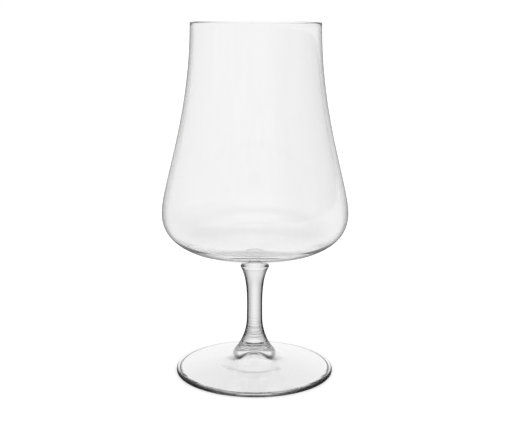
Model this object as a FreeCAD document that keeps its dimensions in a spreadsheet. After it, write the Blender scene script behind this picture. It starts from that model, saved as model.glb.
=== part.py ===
import FreeCAD, Part
import os

import Sketcher
from FreeCAD import Vector

# A stemmed beer glass, blown and pressed from one gather of clear glass.
# Millimetres, +Z up. The origin is the middle of the ring that the foot stands on.

NODE = "beer_glass"
SHEET = "Sizes"
CUBIC = 3

SIZES = {
    # Foot: a shallow cone on a rounded edge. The hollow below is a cone too, and domed in the middle.
    "foot_radius": 40.7,
    "foot_edge": 2.4,
    "foot_rounding": 1.05,
    "flare_radius": 16.0,
    "flare_rise": 5.55,
    "flare_blend": 5.2,
    "flare_pull": 11.7,
    "dish_radius": 37.2,
    "dish_rounding": 0.6,
    "dome_radius": 19.5,
    "dome_foot": 2.8,
    "dome_top": 8.8,
    "dome_crown": 4.5,
    "dome_run": 13.0,
    "dome_rise": 1.1,
    # Stem: a waist between the foot's flare and the collar.
    "waist_radius": 4.0,
    "waist_height": 29.1,
    "waist_pull": 7.2,
    "collar_radius": 7.4,
    "collar_height": 56.0,
    "collar_band": 0.6,
    "collar_pull_in": 4.1,
    "collar_pull_down": 6.75,
    "collar_rounding": 0.28,
    # Neck: the short groove where the stem is joined to the bowl.
    "neck_radius": 3.6,
    "neck_rise": 1.9,
    "neck_length": 2.0,
    "neck_rounding": 0.7,
    # Bowl, outside: a rounded underside, a low belly and a long flank that draws in to the rim.
    "underside_run": 15.6,
    "underside_rise": 1.65,
    "belly_radius": 47.5,
    "belly_lift": 23.7,
    "belly_pull_down": 20.4,
    "belly_pull_up": 14.7,
    "rim_radius": 32.65,
    "rim_lift": 95.8,
    "rim_pull": 46.6,
    # Bowl, inside: the wall thins from the floor to the rim.
    "rim_wall": 1.0,
    "belly_wall": 1.25,
    "floor_wall": 4.8,
    "floor_run": 22.0,
    "hollow_pull_down": 19.8,
    "lip_rounding": 0.45,
    # How far a cutting profile runs past the surface that it opens.
    "overrun": 3.0,
}


class Size:
    """A length that knows its value and the expression that gives it."""

    def __init__(self, value, text):
        self.value = value
        self.text = text

    def __add__(self, other):
        return Size(self.value + other.value, f"({self.text} + {other.text})")

    def __sub__(self, other):
        return Size(self.value - other.value, f"({self.text} - {other.text})")

    def __mul__(self, other):
        return Size(self.value * other.value, f"{self.text} * {other.text}")

    def __truediv__(self, other):
        return Size(self.value / other.value, f"{self.text} / {other.text}")

    def __neg__(self):
        return Size(-self.value, f"(-{self.text})")


ZERO = Size(0.0, "0")


def make_sheet(doc):
    """The driving sizes, one named cell each."""
    sheet = doc.addObject("Spreadsheet::Sheet", SHEET)
    for row, (name, value) in enumerate(SIZES.items(), start=1):
        sheet.set(f"A{row}", name)
        sheet.set(f"B{row}", str(value))
        sheet.setAlias(f"B{row}", name)
    doc.recompute()
    return sheet


def size(name):
    """One driving size, as it is used in an outline."""
    return Size(SIZES[name], f"{SHEET}.{name}")


class Outline:
    """A closed half section on the body's XZ plane, every point of it held by expressions."""

    def __init__(self, body, name, start):
        self.sketch = body.newObject("Sketcher::SketchObject", name)
        plane = next(f for f in body.Origin.OriginFeatures if f.Role == "XZ_Plane")
        self.sketch.AttachmentSupport = (plane, "")
        self.sketch.MapMode = "FlatFace"
        self.first = start
        self.last = start
        self.joint = None
        self.opening = None

    def hold(self, element, point, place):
        """Ties a point of the sketch to a radius and a height."""
        for kind, length in zip(("DistanceX", "DistanceY"), place):
            constraint = Sketcher.Constraint(kind, -1, 1, element, point, length.value)
            index = self.sketch.addConstraint(constraint)
            self.sketch.setExpression(f"Constraints[{index}]", length.text)

    def follow(self, element):
        """Joins an edge to the one before it."""
        if self.joint is None:
            self.opening = element
        else:
            self.sketch.addConstraint(Sketcher.Constraint("Coincident", self.joint, 2, element, 1))
        self.joint = element

    def line(self, end):
        """A straight edge to a point."""
        ends = [Vector(p[0].value, p[1].value) for p in (self.last, end)]
        element = self.sketch.addGeometry(Part.LineSegment(*ends), False)
        self.follow(element)
        self.hold(element, 1, self.last)
        if end is not self.first:
            self.last = end
        return self

    def sweep(self, leave, arrive, end):
        """A smooth edge that leaves towards one point and arrives from another."""
        poles = (self.last, leave, arrive, end)
        curve = Part.BSplineCurve()
        curve.buildFromPolesMultsKnots(
            [Vector(p[0].value, p[1].value) for p in poles],
            [CUBIC + 1, CUBIC + 1], [0.0, 1.0], False, CUBIC)
        element = self.sketch.addGeometry(curve, False)
        self.sketch.exposeInternalGeometry(element)
        self.follow(element)
        for offset, pole in enumerate(poles[:-1], start=1):
            self.hold(element + offset, CUBIC, pole)
        self.last = end
        return self

    def close(self):
        """A straight edge back to the first point."""
        self.line(self.first)
        self.sketch.addConstraint(Sketcher.Constraint("Coincident", self.joint, 2, self.opening, 1))
        return self.sketch


def turn(body, kind, name, sketch):
    """A full turn of a half section about the glass's axis, added or cut."""
    feature = body.newObject(f"PartDesign::{kind}", name)
    feature.Profile = sketch
    feature.ReferenceAxis = (sketch, ["V_Axis"])
    feature.Angle = 360
    sketch.Visibility = False
    body.Document.recompute()
    return feature


def ring_edge(shape, radius, height):
    """The name of the circular edge at a radius and a height."""
    reach = 1e-4
    for index, edge in enumerate(shape.Edges, start=1):
        if edge.Degenerated or not isinstance(edge.Curve, Part.Circle):
            continue
        curve = edge.Curve
        if abs(curve.Radius - radius.value) < reach and abs(curve.Center.z - height.value) < reach:
            return f"Edge{index}"
    raise RuntimeError(f"no round edge at radius {radius.value}, height {height.value}")


def soften(body, name, places, radius):
    """A fillet along round edges, each given by its radius and height."""
    base = body.Tip
    edges = [ring_edge(base.Shape, *place) for place in places]
    fillet = body.newObject("PartDesign::Fillet", name)
    fillet.Base = (base, edges)
    fillet.setExpression("Radius", radius.text)
    body.Document.recompute()
    return fillet


def glass(doc):
    """The whole glass: one turned solid, hollowed from above and from below."""
    body = doc.addObject("PartDesign::Body", NODE)
    body.Label = NODE

    foot_radius = size("foot_radius")
    foot_edge = size("foot_edge")
    flare_radius = size("flare_radius")
    flare_blend = size("flare_blend")
    waist = (size("waist_radius"), size("waist_height"))
    collar_radius = size("collar_radius")
    collar_height = size("collar_height")
    neck_radius = size("neck_radius")
    belly_radius = size("belly_radius")
    rim_radius = size("rim_radius")
    overrun = size("overrun")

    flare_rise = size("flare_rise")
    flare_height = foot_edge + flare_rise
    flare_step = flare_blend * flare_rise / (foot_radius - flare_radius)
    collar_top = collar_height + size("collar_band")
    neck_height = collar_top + size("neck_rise")
    bowl_height = neck_height + size("neck_length")
    belly_height = bowl_height + size("belly_lift")
    rim_height = belly_height + size("rim_lift")
    underside_run = size("underside_run")
    belly_pull_down = size("belly_pull_down")
    belly_pull_up = size("belly_pull_up")
    rim_pull = size("rim_pull")

    outside = Outline(body, "outside", (ZERO, ZERO))
    outside.line((foot_radius, ZERO))
    outside.line((foot_radius, foot_edge))
    outside.line((flare_radius, flare_height))
    outside.sweep((flare_radius - flare_blend, flare_height + flare_step),
                  (waist[0], waist[1] - size("flare_pull")), waist)
    outside.sweep((waist[0], waist[1] + size("waist_pull")),
                  (collar_radius - size("collar_pull_in"), collar_height - size("collar_pull_down")),
                  (collar_radius, collar_height))
    outside.line((collar_radius, collar_top))
    outside.line((neck_radius, neck_height))
    outside.line((neck_radius, bowl_height))
    outside.sweep((neck_radius + underside_run, bowl_height + size("underside_rise")),
                  (belly_radius, belly_height - belly_pull_down), (belly_radius, belly_height))
    outside.sweep((belly_radius, belly_height + belly_pull_up),
                  (rim_radius, rim_height - rim_pull), (rim_radius, rim_height))
    outside.line((ZERO, rim_height))
    turn(body, "Revolution", "blank", outside.close())

    floor_height = bowl_height + size("floor_wall")
    inner_belly = belly_radius - size("belly_wall")
    inner_rim = rim_radius - size("rim_wall")
    cavity = Outline(body, "cavity", (ZERO, floor_height))
    cavity.sweep((size("floor_run"), floor_height),
                 (inner_belly, belly_height - size("hollow_pull_down")),
                 (inner_belly, belly_height))
    cavity.sweep((inner_belly, belly_height + belly_pull_up),
                 (inner_rim, rim_height - rim_pull), (inner_rim, rim_height))
    cavity.line((inner_rim, rim_height + overrun))
    cavity.line((ZERO, rim_height + overrun))
    turn(body, "Groove", "bowl", cavity.close())

    dish_radius = size("dish_radius")
    dome_radius = size("dome_radius")
    dome_foot = size("dome_foot")
    dome_top = size("dome_top")
    dish = Outline(body, "underside", (ZERO, -overrun))
    dish.line((dish_radius, -overrun))
    dish.line((dish_radius, ZERO))
    dish.line((dome_radius, dome_foot))
    dish.sweep((dome_radius - size("dome_run"), dome_foot + size("dome_rise")),
               (size("dome_crown"), dome_top), (ZERO, dome_top))
    turn(body, "Groove", "hollow", dish.close())

    soften(body, "lip", [(rim_radius, rim_height), (inner_rim, rim_height)], size("lip_rounding"))
    soften(body, "foot_rim", [(foot_radius, ZERO), (foot_radius, foot_edge)], size("foot_rounding"))
    soften(body, "ring", [(dish_radius, ZERO)], size("dish_rounding"))
    soften(body, "collar", [(collar_radius, collar_height), (collar_radius, collar_top)],
           size("collar_rounding"))
    soften(body, "neck", [(neck_radius, neck_height), (neck_radius, bowl_height)],
           size("neck_rounding"))
    return body


def check(doc, bodies):
    """Stops if a feature failed or a solid isn't whole."""
    for item in doc.Objects:
        if "Invalid" in item.State or "Error" in item.State:
            raise RuntimeError(f"{item.Name} failed: {item.State}")
    for body in bodies:
        if body.Shape.isNull() or not body.Shape.isValid() or len(body.Shape.Solids) != 1:
            raise RuntimeError(f"{body.Label} isn't one sound solid")


def main():
    doc = FreeCAD.newDocument("glass")
    make_sheet(doc)
    bodies = [glass(doc)]
    doc.recompute()
    check(doc, bodies)
    os.makedirs("parts", exist_ok=True)
    for body in bodies:
        body.Shape.exportStep(os.path.join("parts", f"{body.Label}.step"))
        box = body.Shape.BoundBox
        print(body.Label, "solids", len(body.Shape.Solids), "volume %.0f mm3" % body.Shape.Volume,
              "x %.2f to %.2f, z %.2f to %.2f" % (box.XMin, box.XMax, box.ZMin, box.ZMax))


main()
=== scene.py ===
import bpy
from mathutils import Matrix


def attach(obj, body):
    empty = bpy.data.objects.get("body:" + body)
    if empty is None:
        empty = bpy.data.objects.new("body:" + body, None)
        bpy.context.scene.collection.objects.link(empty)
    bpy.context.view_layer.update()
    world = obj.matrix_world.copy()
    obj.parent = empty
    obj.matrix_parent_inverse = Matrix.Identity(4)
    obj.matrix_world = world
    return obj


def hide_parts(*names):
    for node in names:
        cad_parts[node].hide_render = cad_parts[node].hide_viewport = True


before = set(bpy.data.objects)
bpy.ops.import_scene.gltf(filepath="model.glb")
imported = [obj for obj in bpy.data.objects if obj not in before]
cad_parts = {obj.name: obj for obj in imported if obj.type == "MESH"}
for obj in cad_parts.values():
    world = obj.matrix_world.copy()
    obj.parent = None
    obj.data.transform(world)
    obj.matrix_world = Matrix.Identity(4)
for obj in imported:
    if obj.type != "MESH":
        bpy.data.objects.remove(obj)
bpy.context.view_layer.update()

import logging
import math
from dataclasses import dataclass, field
from enum import Enum
from typing import Any, Iterable, Optional, Sequence, Union

import bpy
from mathutils import Matrix, Vector

LOG = logging.getLogger("beer_glass")
BODY = "root"
NODE = "beer_glass"

MM = 0.001
WELD = 0.002 * MM
AXIS = (0.0, 0.0, 1.0)
ORIGIN = (0.0, 0.0, 0.0)
STRAIGHT = 1
ROUND_PROFILE = 0.5
EVEN_BLEND = 0.5

Place = tuple[float, float]
Stops = tuple[tuple[float, float], ...]


class Ray(Enum):
    """The kinds of ray that a material or the world answers in different ways."""

    CAMERA = "Is Camera Ray"
    GLOSSY = "Is Glossy Ray"
    MIRRORED = "Is Reflection Ray"
    THROUGH = "Is Transmission Ray"


class Signal:
    """A shader socket on which Python's operators add Math nodes."""

    def __init__(self, tree: bpy.types.NodeTree, socket: bpy.types.NodeSocket) -> None:
        """Wraps a socket.

        Args:
            tree: The node tree that the socket is in.
            socket: The output socket.
        """
        self.tree = tree
        self.socket = socket

    def maths(self, operation: str, *values: "Value") -> "Signal":
        """Adds a Math node.

        Args:
            operation: The node's operation.
            values: What its sockets get, in order.

        Returns:
            The node's result.
        """
        node = self.tree.nodes.new("ShaderNodeMath")
        node.operation = operation
        for socket, value in zip(node.inputs, values):
            feed(self.tree, socket, value)
        return Signal(self.tree, node.outputs[0])

    def __add__(self, other: "Value") -> "Signal":
        """The sum."""
        return self.maths("ADD", self, other)

    def __radd__(self, other: "Value") -> "Signal":
        """The sum, with a number first."""
        return self.maths("ADD", other, self)

    def __sub__(self, other: "Value") -> "Signal":
        """The difference."""
        return self.maths("SUBTRACT", self, other)

    def __rsub__(self, other: "Value") -> "Signal":
        """The difference, with a number first."""
        return self.maths("SUBTRACT", other, self)

    def __mul__(self, other: "Value") -> "Signal":
        """The product."""
        return self.maths("MULTIPLY", self, other)

    def __rmul__(self, other: "Value") -> "Signal":
        """The product, with a number first."""
        return self.maths("MULTIPLY", other, self)

    def below(self, limit: "Value") -> "Signal":
        """One where the value is less than the limit, and nought elsewhere."""
        return self.maths("LESS_THAN", self, limit)

    def smaller(self, other: "Value") -> "Signal":
        """The smaller of two values."""
        return self.maths("MINIMUM", self, other)

    def larger(self, other: "Value") -> "Signal":
        """The larger of two values."""
        return self.maths("MAXIMUM", self, other)


Value = Union[Signal, float, Sequence[float]]


def feed(tree: bpy.types.NodeTree, socket: bpy.types.NodeSocket, value: Value) -> None:
    """Gives a socket its link or its number.

    Args:
        tree: The node tree that the socket is in.
        socket: The input socket.
        value: A signal to link, or what the socket holds by itself.
    """
    if isinstance(value, Signal):
        tree.links.new(value.socket, socket)
    else:
        socket.default_value = value


class Shader:
    """A node tree that is written one node at a time."""

    def __init__(self, owner: Union[bpy.types.Material, bpy.types.World]) -> None:
        """Starts with an empty tree.

        Args:
            owner: The material or world that the tree belongs to.
        """
        owner.use_nodes = True
        self.tree = owner.node_tree
        self.tree.nodes.clear()

    def node(self, kind: str, inputs: dict[Union[str, int], Value], output: Union[str, int] = 0,
             **settings: Any) -> Signal:
        """Adds a node.

        Args:
            kind: The node's type, without the word that all shader nodes start with.
            inputs: Values or links by the socket's name or number.
            output: The socket that is handed back.
            settings: What is set first. stops gives a ramp its places and grey values.

        Returns:
            The chosen output.
        """
        node = self.tree.nodes.new("ShaderNode" + kind)
        stops = settings.pop("stops", None)
        for name, setting in settings.items():
            setattr(node, name, setting)
        if stops is not None:
            self.fill_ramp(node.color_ramp, stops)
        for name, value in inputs.items():
            feed(self.tree, node.inputs[name], value)
        return Signal(self.tree, node.outputs[output])

    @staticmethod
    def fill_ramp(ramp: bpy.types.ColorRamp, stops: Stops) -> None:
        """Sets a ramp's grey stops.

        Args:
            ramp: The ramp of a new node, which has two stops.
            stops: Place and grey value of each stop, in order.
        """
        places = [ramp.elements[0], ramp.elements[1]]
        places[0].position, places[1].position = stops[0][0], stops[-1][0]
        for stop in stops[1:-1]:
            ramp.elements.new(stop[0])
        for element, (_, grey) in zip(ramp.elements, stops):
            element.color = (grey, grey, grey, 1.0)

    def finish(self, kind: str, surface: Signal) -> None:
        """Links the last shader to the tree's output.

        Args:
            kind: Material or World.
            surface: The shader that shows.
        """
        output = self.tree.nodes.new("ShaderNodeOutput" + kind)
        self.tree.links.new(surface.socket, output.inputs["Surface"])


@dataclass(frozen=True)
class Edge:
    """One edge of the half section, straight unless it has pulls.

    Places are a radius and a height in metres. The edge heads for leave as it starts, and comes
    from arrive as it ends.
    """

    start: Place
    end: Place
    steps: int
    leave: Optional[Place] = None
    arrive: Optional[Place] = None

    def wire(self) -> bpy.types.Object:
        """Draws the edge as a curve and turns it into a mesh wire.

        Returns:
            The wire, in the XZ plane.
        """
        ends = [in_plane(self.start), in_plane(self.end)]
        third = (ends[1] - ends[0]) / 3
        leave = in_plane(self.leave) if self.leave else ends[0] + third
        arrive = in_plane(self.arrive) if self.arrive else ends[1] - third
        bpy.ops.object.select_all(action="DESELECT")
        bpy.ops.curve.primitive_bezier_curve_add(location=ORIGIN)
        curve = bpy.context.object.data
        curve.resolution_u = self.steps
        first, last = curve.splines[0].bezier_points
        for point in (first, last):
            point.handle_left_type = point.handle_right_type = "FREE"
        first.co, first.handle_left, first.handle_right = ends[0], ends[0], leave
        last.co, last.handle_left, last.handle_right = ends[1], arrive, ends[1]
        bpy.ops.object.convert(target="MESH")
        return bpy.context.object


@dataclass(frozen=True)
class Corner:
    """A corner of the half section, and the radius that softens it."""

    place: Place
    radius: float
    steps: int


def in_plane(place: Place) -> Vector:
    """The point of the XZ plane at a radius and a height."""
    return Vector((place[0], 0.0, place[1]))


class Lathe:
    """Draws a half section and turns it into a closed skin."""

    def __init__(self, name: str, edges: Iterable[Edge]) -> None:
        """Draws the edges and welds them end to end.

        Args:
            name: The name of the piece.
            edges: The half section's edges, in order.
        """
        wires = [edge.wire() for edge in edges]
        bpy.ops.object.select_all(action="DESELECT")
        for wire in wires:
            wire.select_set(True)
        bpy.context.view_layer.objects.active = wires[0]
        bpy.ops.object.join()
        self.piece = bpy.context.object
        self.piece.name = self.piece.data.name = name
        self.weld()

    def weld(self) -> None:
        """Merges the points that lie on each other."""
        bpy.ops.object.mode_set(mode="EDIT")
        bpy.ops.mesh.select_mode(type="VERT")
        bpy.ops.mesh.select_all(action="SELECT")
        bpy.ops.mesh.remove_doubles(threshold=WELD)
        bpy.ops.object.mode_set(mode="OBJECT")

    def setback(self, corner: Corner, index: int) -> float:
        """How far along its edges a corner's rounding reaches.

        Args:
            corner: The corner.
            index: The number of the corner's point.

        Returns:
            The length from the corner to where the arc starts.
        """
        points = self.piece.data.vertices
        arms = [points[other].co - points[index].co
                for edge in self.piece.data.edges if index in edge.vertices
                for other in edge.vertices if other != index]
        return corner.radius / math.tan(arms[0].angle(arms[1]) / 2)

    def soften(self, corners: Iterable[Corner]) -> None:
        """Rounds corners of the wire.

        Args:
            corners: The corners, each with its own radius.
        """
        points = self.piece.data.vertices
        for corner in corners:
            place = in_plane(corner.place)
            index = min(range(len(points)), key=lambda number: (points[number].co - place).length)
            setback = self.setback(corner, index)
            bpy.ops.object.mode_set(mode="EDIT")
            bpy.ops.mesh.select_all(action="DESELECT")
            bpy.ops.object.mode_set(mode="OBJECT")
            points = self.piece.data.vertices
            points[index].select = True
            bpy.ops.object.mode_set(mode="EDIT")
            bpy.ops.mesh.bevel(affect="VERTICES", offset_type="OFFSET", offset=setback,
                               segments=corner.steps, profile=ROUND_PROFILE,
                               clamp_overlap=False)
            bpy.ops.object.mode_set(mode="OBJECT")
            points = self.piece.data.vertices

    def turn(self, steps: int) -> bpy.types.Object:
        """Spins the wire all the way round and closes it at the axis.

        Args:
            steps: How many facets go round.

        Returns:
            The closed skin, with its faces pointing outwards.
        """
        bpy.ops.object.mode_set(mode="EDIT")
        bpy.ops.mesh.select_all(action="SELECT")
        bpy.ops.mesh.spin(steps=steps, angle=math.tau, center=ORIGIN, axis=AXIS,
                          use_auto_merge=True)
        bpy.ops.object.mode_set(mode="OBJECT")
        self.weld()
        bpy.ops.object.mode_set(mode="EDIT")
        bpy.ops.mesh.select_all(action="SELECT")
        bpy.ops.mesh.normals_make_consistent(inside=False)
        bpy.ops.object.mode_set(mode="OBJECT")
        bpy.ops.object.shade_smooth()
        return self.piece


@dataclass(frozen=True)
class Foot:
    """The foot: a shallow cone with a rounded edge, hollow below on a narrow standing ring."""

    radius: float = 40.7 * MM
    edge: float = 2.4 * MM
    rounding: float = 1.05 * MM
    cone_top: Place = (16.0 * MM, 7.95 * MM)
    ring_radius: float = 37.2 * MM
    ring_rounding: float = 0.6 * MM
    dome_foot: Place = (19.5 * MM, 2.8 * MM)
    dome_pull: Place = (6.5 * MM, 3.9 * MM)
    dome_crown: float = 4.5 * MM
    dome_top: float = 8.8 * MM
    dome_steps: int = 48
    hollow_steps: int = 12
    ring_steps: int = 2
    cone_steps: int = 14
    ring_rounding_steps: int = 3
    rounding_steps: int = 9

    def edges(self) -> list[Edge]:
        """The half section from the axis below to the top of the cone.

        Returns:
            The edges, in order.
        """
        ring = (self.ring_radius, 0.0)
        toe = (self.radius, 0.0)
        brim = (self.radius, self.edge)
        return [
            Edge((0.0, self.dome_top), self.dome_foot, self.dome_steps,
                 leave=(self.dome_crown, self.dome_top), arrive=self.dome_pull),
            Edge(self.dome_foot, ring, self.hollow_steps),
            Edge(ring, toe, self.ring_steps),
            Edge(toe, brim, STRAIGHT),
            Edge(brim, self.cone_top, self.cone_steps),
        ]

    def corners(self) -> list[Corner]:
        """The foot's rounded corners.

        Returns:
            The edge of the hollow and the two edges of the rim.
        """
        return [
            Corner((self.ring_radius, 0.0), self.ring_rounding, self.ring_rounding_steps),
            Corner((self.radius, 0.0), self.rounding, self.rounding_steps),
            Corner((self.radius, self.edge), self.rounding, self.rounding_steps),
        ]


@dataclass(frozen=True)
class Stem:
    """The stem: a waist between the flare on the foot and the collar, and the neck above it."""

    waist: Place = (4.0 * MM, 29.1 * MM)
    flare_pull: float = 11.7 * MM
    flare_lead: Place = (10.8 * MM, 9.1184 * MM)
    waist_pull: float = 7.2 * MM
    collar: Place = (7.4 * MM, 56.0 * MM)
    collar_arrive: Place = (3.3 * MM, 49.25 * MM)
    collar_band: float = 0.6 * MM
    collar_rounding: float = 0.28 * MM
    neck: Place = (3.6 * MM, 58.5 * MM)
    neck_length: float = 2.0 * MM
    neck_rounding: float = 0.7 * MM
    flare_steps: int = 56
    waist_steps: int = 40
    shoulder_steps: int = 3
    collar_under_steps: int = 3
    collar_over_steps: int = 5
    neck_foot_steps: int = 6
    neck_top_steps: int = 8

    @property
    def collar_top(self) -> Place:
        """The upper edge of the collar's band."""
        return self.collar[0], self.collar[1] + self.collar_band

    @property
    def neck_top(self) -> Place:
        """Where the bowl starts."""
        return self.neck[0], self.neck[1] + self.neck_length

    def edges(self, foot: Foot) -> list[Edge]:
        """The half section from the foot's cone to the bowl.

        Args:
            foot: The foot that the flare grows from.

        Returns:
            The edges, in order.
        """
        radius, height = self.waist
        return [
            Edge(foot.cone_top, self.waist, self.flare_steps, leave=self.flare_lead,
                 arrive=(radius, height - self.flare_pull)),
            Edge(self.waist, self.collar, self.waist_steps,
                 leave=(radius, height + self.waist_pull), arrive=self.collar_arrive),
            Edge(self.collar, self.collar_top, STRAIGHT),
            Edge(self.collar_top, self.neck, self.shoulder_steps),
            Edge(self.neck, self.neck_top, STRAIGHT),
        ]

    def corners(self) -> list[Corner]:
        """The stem's rounded corners.

        Returns:
            The collar's two edges and the two ends of the neck.
        """
        return [
            Corner(self.collar, self.collar_rounding, self.collar_under_steps),
            Corner(self.collar_top, self.collar_rounding, self.collar_over_steps),
            Corner(self.neck, self.neck_rounding, self.neck_foot_steps),
            Corner(self.neck_top, self.neck_rounding, self.neck_top_steps),
        ]


@dataclass(frozen=True)
class Bowl:
    """The bowl: a round underside, a low belly and a long flank, with a wall that thins upwards."""

    underside_pull: Place = (19.2 * MM, 62.15 * MM)
    belly: Place = (47.5 * MM, 84.2 * MM)
    belly_pull_down: float = 20.4 * MM
    belly_pull_up: float = 14.7 * MM
    rim: Place = (32.65 * MM, 180.0 * MM)
    rim_pull: float = 46.6 * MM
    rim_wall: float = 1.0 * MM
    belly_wall: float = 1.25 * MM
    floor_height: float = 65.3 * MM
    floor_run: float = 22.0 * MM
    hollow_pull_down: float = 19.8 * MM
    lip_rounding: float = 0.45 * MM
    underside_steps: int = 60
    flank_steps: int = 62
    lip_steps: int = 5

    @property
    def inner_rim(self) -> Place:
        """The inner edge of the rim."""
        return self.rim[0] - self.rim_wall, self.rim[1]

    @property
    def inner_belly(self) -> Place:
        """The widest place of the hollow."""
        return self.belly[0] - self.belly_wall, self.belly[1]

    def edges(self, stem: Stem) -> list[Edge]:
        """The half section from the neck up to the rim and down the inside to the axis.

        Args:
            stem: The stem that carries the bowl.

        Returns:
            The edges, in order.
        """
        height = self.belly[1]
        rim_low = self.rim[1] - self.rim_pull
        return [
            Edge(stem.neck_top, self.belly, self.underside_steps, leave=self.underside_pull,
                 arrive=(self.belly[0], height - self.belly_pull_down)),
            Edge(self.belly, self.rim, self.flank_steps,
                 leave=(self.belly[0], height + self.belly_pull_up),
                 arrive=(self.rim[0], rim_low)),
            Edge(self.rim, self.inner_rim, STRAIGHT),
            Edge(self.inner_rim, self.inner_belly, self.flank_steps,
                 leave=(self.inner_rim[0], rim_low),
                 arrive=(self.inner_belly[0], height + self.belly_pull_up)),
            Edge(self.inner_belly, (0.0, self.floor_height), self.underside_steps,
                 leave=(self.inner_belly[0], height - self.hollow_pull_down),
                 arrive=(self.floor_run, self.floor_height)),
        ]

    def corners(self) -> list[Corner]:
        """The two edges of the lip."""
        return [Corner(place, self.lip_rounding, self.lip_steps)
                for place in (self.rim, self.inner_rim)]


class Part(Enum):
    """The two parts of a tone: the tint, which darkens to the outline as painted shade, and the
    share of near-black painted shade mixed over it.
    """

    CLEAR = "clear"
    EDGE = "edge"


@dataclass(frozen=True)
class TintAndPaintedShade:
    """How a stretch of the glass darkens, as painted shade, from where it is seen face on to its
    outline.

    A stop is a share of the way from face on to edge on, and a grey. In clear it is the tint that
    the glass lets through, and in edge it is how much near-black is mixed in. The greys were
    fitted to the photograph, over what bending the light gives by itself.
    """

    clear: Stops
    edge: Stops

    def ramp(self, shader: Shader, part: Part, share: Signal) -> Signal:
        """Adds a ramp.

        Args:
            shader: The node tree.
            part: Which of the two greys.
            share: How far the place is from face on to edge on.

        Returns:
            The grey.
        """
        return shader.node("ValToRGB", {0: share}, stops=getattr(self, part.value))


@dataclass(frozen=True)
class Span:
    """A stretch over which one look gives way to the next."""

    start: float
    end: float

    def passed(self, shader: Shader, value: Signal) -> Signal:
        """A mask that is nought before the stretch and one after it."""
        return shader.node("MapRange", {"Value": value, "From Min": self.start,
                                        "From Max": self.end})


class Spot:
    """What a shader knows of the place on the glass that it shades."""

    def __init__(self, shader: Shader, under: Span) -> None:
        """Measures the place.

        Args:
            shader: The node tree.
            under: How far down a surface faces where it no longer counts as upright.
        """
        self.facing = shader.node("LayerWeight", {"Blend": EVEN_BLEND}, output="Facing")
        self.place = shader.node("TexCoord", {}, output="Object")
        self.height = shader.node("SeparateXYZ", {0: self.place}, output="Z")
        flat = shader.node("VectorMath", {0: self.place, 1: (1.0, 1.0, 0.0)},
                           operation="MULTIPLY")
        self.radius = shader.node("VectorMath", {0: flat}, output="Value", operation="LENGTH")
        normal = shader.node("NewGeometry", {}, output="Normal")
        lean = shader.node("SeparateXYZ", {0: normal}, output="Z")
        rise = lean.larger(0.0)
        self.steep = 1.0 - lean * lean
        self.upright = (1.0 - rise * rise) * under.passed(shader, lean)
        back = shader.node("NewGeometry", {}, output="Backfacing")
        outward = shader.node("VectorMath", {0: normal, 1: flat}, output="Value",
                              operation="DOT_PRODUCT")
        self.inner = (outward * (1.0 - 2.0 * back)).below(0.0)


@dataclass(frozen=True)
class Layer:
    """A tone, with its painted shade, and where it lies."""

    tone: TintAndPaintedShade
    share: Signal
    mask: Signal


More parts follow.
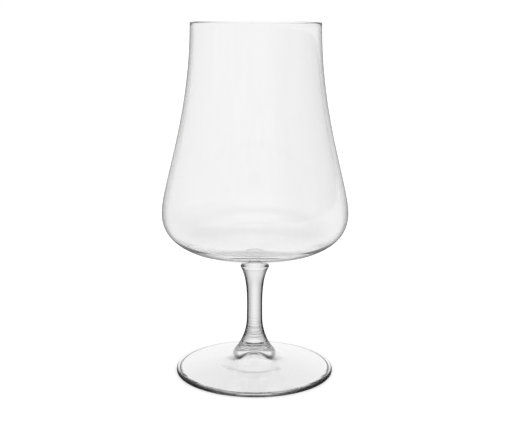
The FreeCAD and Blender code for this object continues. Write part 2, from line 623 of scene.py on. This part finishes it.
@dataclass(frozen=True)
class ClearGlass:
    """Clear, colourless, fire-polished glass, with the faint marks of blowing and pressing, and
    painted shade on its outlines and in dark lines on the foot and the bowl's floor.
    """

    name: str = "clear_glass"
    ior: float = 1.5
    # The near-black of the painted shade that is mixed over the glass.
    shade: float = 0.012
    # Each tone below darkens the glass towards its outline as painted shade.
    foot: TintAndPaintedShade = TintAndPaintedShade(
        clear=((0.0, 0.905), (0.6, 0.9), (0.8, 0.86), (0.9, 0.8), (1.0, 0.6)),
        edge=((0.0, 0.0), (0.6, 0.0), (0.8, 0.3), (1.0, 0.8)))
    rim: TintAndPaintedShade = TintAndPaintedShade(
        clear=((0.0, 0.97), (0.045, 0.9), (0.07, 0.7), (0.12, 0.5), (0.3, 0.3), (0.5, 0.2),
               (1.0, 0.15)),
        edge=((0.0, 0.0), (0.045, 0.05), (0.065, 0.4), (0.12, 0.7), (0.3, 0.85), (0.6, 0.95),
              (1.0, 0.97)))
    # Painted shade: a dark line on the standing ring.
    ring: TintAndPaintedShade = TintAndPaintedShade(clear=((0.0, 0.1), (1.0, 0.1)), edge=((0.0, 0.6), (1.0, 0.6)))
    # Painted shade: dark marks on the foot's dome, by how far it is turned from face on.
    dome: TintAndPaintedShade = TintAndPaintedShade(
        clear=((0.0, 0.3), (0.1, 0.3), (0.125, 0.93), (1.0, 0.93)),
        edge=((0.0, 0.45), (0.1, 0.45), (0.125, 0.0), (0.22, 0.0), (0.27, 0.5), (0.6, 0.5),
              (0.7, 0.0), (1.0, 0.0)))
    stem: TintAndPaintedShade = TintAndPaintedShade(
        clear=((0.0, 0.96), (0.01, 0.91), (0.036, 0.84), (0.075, 0.76), (0.105, 0.66), (0.15, 0.52),
               (0.26, 0.34), (1.0, 0.2)),
        edge=((0.0, 0.0), (0.29, 0.0), (0.4, 0.4), (0.5, 0.92), (0.6, 0.97), (1.0, 0.98)))
    collar: TintAndPaintedShade = TintAndPaintedShade(
        clear=((0.0, 0.97), (0.05, 0.93), (0.1, 0.88), (0.2, 0.8), (0.3, 0.7), (0.45, 0.55),
               (0.6, 0.4), (1.0, 0.3)),
        edge=((0.0, 0.0), (0.42, 0.0), (0.55, 0.45), (0.7, 0.75), (1.0, 0.9)))
    bowl: TintAndPaintedShade = TintAndPaintedShade(
        clear=((0.0, 0.96), (0.2, 0.955), (0.4, 0.93), (0.55, 0.9), (0.7, 0.86), (0.85, 0.8),
               (1.0, 0.7)),
        edge=((0.0, 0.0), (0.6, 0.0), (0.7, 0.08), (0.76, 0.35), (0.85, 0.6), (0.92, 0.75),
              (1.0, 0.85)))
    # Painted shade: a dark line on the bowl's floor, by how far it is turned from face on.
    floor: Stops = ((0.0, 0.0), (0.262, 0.0), (0.275, 0.3), (0.315, 0.3), (0.345, 0.025),
                    (0.6, 0.02), (0.66, 0.0), (1.0, 0.0))
    # Painted shade: a dark line round the foot's rim, where it turns edge on.
    rim_shade_line: Stops = ((0.0, 0.0), (0.86, 0.0), (0.95, 0.5), (1.0, 0.8))
    # How much of the painted outline shade the bowl's inner face keeps.
    inner_edge: float = 0.3
    # How strongly the painted outline shade takes hold on steep roundings.
    rounding_shade: float = 2.0
    under: Span = Span(-1.0, -0.9)
    level: Span = Span(0.1, 0.3)
    rim_start: Span = Span(38.7 * MM, 39.2 * MM)
    ring_start: Span = Span(37.7 * MM, 38.0 * MM)
    ring_end: Span = Span(38.5 * MM, 38.8 * MM)
    ring_top: Span = Span(0.55 * MM, 0.75 * MM)
    dome_start: Span = Span(6.2 * MM, 7.2 * MM)
    dome_end: Span = Span(8.5 * MM, 9.2 * MM)
    dome_top: Span = Span(8.9 * MM, 9.0 * MM)
    stem_start: Span = Span(12.0 * MM, 18.0 * MM)
    collar_start: Span = Span(47.0 * MM, 55.0 * MM)
    bowl_start: Span = Span(59.5 * MM, 61.0 * MM)
    ring_shade: float = 0.7
    ripple_depth: float = 0.35 * MM
    ripple_length: float = 1.5 * MM
    ripple_start: Span = Span(13.0 * MM, 16.0 * MM)
    ripple_end: Span = Span(31.0 * MM, 37.0 * MM)
    ripple_left: float = 0.2
    ripple_detail: float = 2.0
    streak_scale: tuple[float, float, float] = (420.0, 420.0, 9.0)
    streak_noise: Span = Span(0.3, 0.7)
    streak_detail: float = 3.0
    streak_depth: float = 0.015

    def material(self) -> bpy.types.Material:
        """Makes the glass.

        Returns:
            The material.
        """
        material = bpy.data.materials.new(self.name)
        shader = Shader(material)
        spot = Spot(shader, self.under)
        bowl = self.bowl_start.passed(shader, spot.height)
        layers = self.layers(shader, spot, bowl)
        clear = self.tones(shader, spot, layers, Part.CLEAR)
        colour = shader.node("Mix", {0: 1.0, 6: clear, 7: self.streaks(shader, spot)}, output=2,
                             data_type="RGBA", blend_type="MULTIPLY")
        glass = shader.node("BsdfPrincipled", {
            "Base Color": colour, "Normal": self.ripples(shader, spot, bowl), "Roughness": 0.0,
            "IOR": self.ior, "Transmission Weight": 1.0})
        # The painted shade: a near-black diffuse mixed over the glass.
        shade = shader.node("BsdfDiffuse", {"Color": (self.shade, self.shade, self.shade, 1.0)})
        painted_shade = self.painted_shade(shader, spot, layers, bowl)
        shader.finish("Material", shader.node("MixShader", {0: painted_shade, 1: glass, 2: shade}))
        return material

    def layers(self, shader: Shader, spot: Spot, bowl: Signal) -> dict[str, Layer]:
        """Lays the tones, with their painted shade, out on the glass.

        Args:
            shader: The node tree.
            spot: The place that is shaded.
            bowl: The mask of the bowl.

        Returns:
            The layers over the foot's own tone, from the lowest to the top one.
        """
        stem = self.stem_start.passed(shader, spot.height)
        rim = self.rim_start.passed(shader, spot.radius) * (1.0 - stem)
        ring = (self.ring_start.passed(shader, spot.radius)
                * (1.0 - self.ring_end.passed(shader, spot.radius))
                * (1.0 - self.ring_top.passed(shader, spot.height)))
        dome = (self.dome_start.passed(shader, spot.radius)
                * (1.0 - self.dome_end.passed(shader, spot.radius))
                * (1.0 - self.dome_top.passed(shader, spot.height)))
        collar = self.collar_start.passed(shader, spot.height)
        return {
            "rim": Layer(self.rim, spot.facing * spot.steep, rim),
            "ring": Layer(self.ring, spot.facing, ring),
            "dome": Layer(self.dome, spot.facing, dome),
            "stem": Layer(self.stem, spot.facing, stem),
            "collar": Layer(self.collar, spot.facing * spot.upright, collar),
            "bowl": Layer(self.bowl, spot.facing * spot.upright, bowl),
        }

    def tones(self, shader: Shader, spot: Spot, layers: dict[str, Layer], part: Part) -> Signal:
        """Blends the tones, with their painted shade, of all the layers.

        Args:
            shader: The node tree.
            spot: The place that is shaded.
            layers: The layers over the foot's tone.
            part: Which of the two greys.

        Returns:
            The grey of the place.
        """
        grey = self.foot.ramp(shader, part, spot.facing * spot.steep)
        for layer in layers.values():
            over = layer.tone.ramp(shader, part, layer.share)
            grey = shader.node("Mix", {0: layer.mask, 6: grey, 7: over}, output=2, data_type="RGBA")
        return grey

    def painted_shade(self, shader: Shader, spot: Spot, layers: dict[str, Layer], bowl: Signal) -> Signal:
        """How much painted shade, a near-black, is mixed over the glass.

        The painted shade, a dark line on the bowl's floor, isn't shown to rays that have just been
        mirrored.

        Args:
            shader: The node tree.
            spot: The place that is shaded.
            layers: The layers of tones.
            bowl: The mask of the bowl.

        Returns:
            The share of painted shade.
        """
        # Painted shade on the outlines, strongest on steep roundings and the stem, weaker on the
        # bowl's inner face.
        stands = spot.upright * (spot.steep * self.rounding_shade + layers["stem"].mask).smaller(1.0)
        inside = 1.0 - spot.inner * bowl * (1.0 - self.inner_edge)
        edge = self.tones(shader, spot, layers, Part.EDGE) * stands * inside
        level = 1.0 - self.level.passed(shader, spot.upright)
        direct = 1.0 - shader.node("LightPath", {}, output=Ray.MIRRORED.value)
        # Painted shade: the dark line on the bowl's floor, only where it lies level.
        floor = shader.node("ValToRGB", {0: spot.facing}, stops=self.floor) * level * bowl * direct
        # Painted shade: the dark marks on the foot's dome.
        dome = layers["dome"].mask * self.dome.ramp(shader, Part.EDGE, spot.facing)
        # Painted shade: the dark line round the foot's rim.
        line = shader.node("ValToRGB", {0: spot.facing}, stops=self.rim_shade_line) * layers["rim"].mask
        # Painted shade: the dark line on the standing ring.
        ring = layers["ring"].mask * self.ring_shade
        return edge.larger(floor).larger(dome).larger(line).larger(ring)

    def ripples(self, shader: Shader, spot: Spot, bowl: Signal) -> Signal:
        """The faint waves that the tool leaves round the lower stem.

        Args:
            shader: The node tree.
            spot: The place that is shaded.
            bowl: The mask of the bowl, which is smooth.

        Returns:
            The waved normal.
        """
        wave = shader.node("TexNoise", {"W": spot.height * (1.0 / self.ripple_length), "Scale": 1.0,
                                        "Detail": self.ripple_detail}, noise_dimensions="1D")
        fade = 1.0 - self.ripple_end.passed(shader, spot.height) * (1.0 - self.ripple_left)
        depth = self.ripple_start.passed(shader, spot.height) * fade * (1.0 - bowl)
        return shader.node("Bump", {"Strength": 1.0, "Distance": self.ripple_depth,
                                    "Height": wave * depth})

    def streaks(self, shader: Shader, spot: Spot) -> Signal:
        """The very faint upright streaks of blown glass, as a change of tint.

        Args:
            shader: The node tree.
            spot: The place that is shaded.

        Returns:
            The grey that the glass's tone is multiplied by.
        """
        place = shader.node("VectorMath", {0: spot.place, 1: self.streak_scale},
                            operation="MULTIPLY")
        noise = shader.node("TexNoise", {"Vector": place, "Scale": 1.0,
                                         "Detail": self.streak_detail})
        return shader.node("MapRange", {
            "Value": noise, "From Min": self.streak_noise.start, "From Max": self.streak_noise.end,
            "To Min": 1.0 - self.streak_depth, "To Max": 1.0})


@dataclass(frozen=True)
class BeerGlass:
    """The whole glass: foot, stem and bowl in one skin of clear glass."""

    name: str = "stemmed_glass"
    foot: Foot = field(default_factory=Foot)
    stem: Stem = field(default_factory=Stem)
    bowl: Bowl = field(default_factory=Bowl)
    finish: ClearGlass = field(default_factory=ClearGlass)
    facets: int = 192

    def build(self) -> bpy.types.Object:
        """Turns the glass.

        Returns:
            The bare piece.
        """
        edges = self.foot.edges() + self.stem.edges(self.foot) + self.bowl.edges(self.stem)
        lathe = Lathe(self.name, edges)
        lathe.soften(self.foot.corners() + self.stem.corners() + self.bowl.corners())
        return lathe.turn(self.facets)

    def dress(self, piece: bpy.types.Object) -> None:
        """Gives the piece its glass and ties it to the frame.

        Args:
            piece: The turned glass.
        """
        piece.data.materials.clear()
        piece.data.materials.append(self.finish.material())
        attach(piece, BODY)
        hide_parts(NODE)


@dataclass(frozen=True)
class Floor:
    """The pale floor, which is white to the camera and keeps the glass's shadow."""

    name: str = "studio_floor"
    width: float = 400.0
    gap: float = 0.02 * MM
    paint: float = 0.9
    glow: float = 0.4

    def build(self) -> bpy.types.Object:
        """Lays the floor.

        Returns:
            The floor.
        """
        bpy.ops.object.select_all(action="DESELECT")
        bpy.ops.mesh.primitive_plane_add(size=self.width, location=(0.0, 0.0, -self.gap))
        floor = bpy.context.object
        floor.name = self.name
        material = bpy.data.materials.new(self.name)
        shader = Shader(material)
        matt = shader.node("BsdfDiffuse", {"Color": (self.paint, self.paint, self.paint, 1.0)})
        glow = shader.node("Emission", {"Strength": self.glow})
        seen = shader.node("AddShader", {0: matt, 1: glow})
        plain = shader.node("Emission", {"Strength": 1.0})
        in_glass = reflected(shader)
        shader.finish("Material", shader.node("MixShader", {0: in_glass, 1: seen, 2: plain}))
        floor.data.materials.append(material)
        return floor


def reflected(shader: Shader) -> Signal:
    """One for a ray that comes off or through glass, and nought for any other.

    Args:
        shader: The node tree.

    Returns:
        The mask.
    """
    glossy = shader.node("LightPath", {}, output=Ray.GLOSSY.value)
    return glossy.larger(shader.node("LightPath", {}, output=Ray.THROUGH.value))


@dataclass(frozen=True)
class Surround:
    """The white room.

    Only light that goes off or through the glass sees it shaded: bright to the sides, dimmer to
    the right, dark above them, and light again straight overhead.
    """

    light: float = 0.9
    overhead: Stops = ((0.0, 1.0), (0.28, 1.0), (0.45, 0.72), (0.62, 0.25), (0.7, 0.06),
                       (0.89, 0.9), (1.0, 1.0))
    right: Stops = ((0.0, 1.0), (0.3, 1.0), (0.7, 0.6), (1.0, 0.55))

    def build(self) -> None:
        """Makes the world."""
        world = bpy.data.worlds.new("studio")
        bpy.context.scene.world = world
        shader = Shader(world)
        direction = shader.node("TexCoord", {}, output="Generated")
        height = shader.node("SeparateXYZ", {0: direction}, output="Z")
        aside = shader.node("SeparateXYZ", {0: direction}, output="X")
        side = shader.node("ValToRGB", {0: aside}, stops=self.right)
        seen = shader.node("ValToRGB", {0: height}, stops=self.overhead)
        seen = shader.node("Mix", {0: 1.0, 6: seen, 7: side}, output=2, data_type="RGBA",
                           blend_type="MULTIPLY")
        in_glass = shader.node("Background", {"Color": seen, "Strength": 1.0})
        lamp = shader.node("Background", {"Color": (1.0, 1.0, 1.0, 1.0), "Strength": self.light})
        white = shader.node("Background", {"Color": (1.0, 1.0, 1.0, 1.0), "Strength": 1.0})
        room = shader.node("MixShader", {0: reflected(shader), 1: lamp, 2: in_glass})
        camera = shader.node("LightPath", {}, output=Ray.CAMERA.value)
        shader.finish("World", shader.node("MixShader", {0: camera, 1: room, 2: white}))


@dataclass(frozen=True)
class ViewPoint:
    """The camera, where the photographer stood: in front and a little above the rim."""

    place: tuple[float, float, float] = (-0.28 * MM, -516.5 * MM, 187.7 * MM)
    tilt_down: float = math.radians(11.247)
    roll: float = math.radians(0.26)
    lens: float = 72.91
    sensor: float = 36.0
    near: float = 0.01

    def build(self) -> None:
        """Sets the camera up."""
        data = bpy.data.cameras.new("camera")
        data.lens = self.lens
        data.sensor_width = self.sensor
        data.clip_start = self.near
        camera = bpy.data.objects.new("camera", data)
        bpy.context.scene.collection.objects.link(camera)
        turn = (Matrix.Rotation(math.pi / 2 - self.tilt_down, 4, "X")
                @ Matrix.Rotation(self.roll, 4, "Z"))
        camera.matrix_world = Matrix.Translation(self.place) @ turn
        bpy.context.scene.camera = camera


@dataclass(frozen=True)
class Picture:
    """How far light is followed through the glass."""

    bounces: int = 32
    glossy_bounces: int = 20

    def build(self) -> None:
        """Sets the scene's light paths."""
        scene = bpy.context.scene
        scene.view_settings.view_transform = "Standard"
        scene.cycles.max_bounces = self.bounces
        scene.cycles.transmission_bounces = self.bounces
        scene.cycles.glossy_bounces = self.glossy_bounces
        scene.cycles.use_denoising = True


def report(piece: bpy.types.Object) -> None:
    """Logs a piece's size.

    Args:
        piece: The piece.
    """
    faces = sum(len(face.vertices) - 2 for face in piece.data.polygons)
    LOG.info("%s: %d triangles, %.1f x %.1f x %.1f mm", piece.name, faces,
             *(side / MM for side in piece.dimensions))


def main() -> None:
    """Builds the glass and its studio."""
    logging.basicConfig(level=logging.INFO, format="%(name)s: %(message)s")
    glass = BeerGlass()
    piece = glass.build()
    glass.dress(piece)
    report(piece)
    report(Floor().build())
    Surround().build()
    ViewPoint().build()
    Picture().build()
    bpy.context.view_layer.update()


if __name__ == "__main__":
    main()
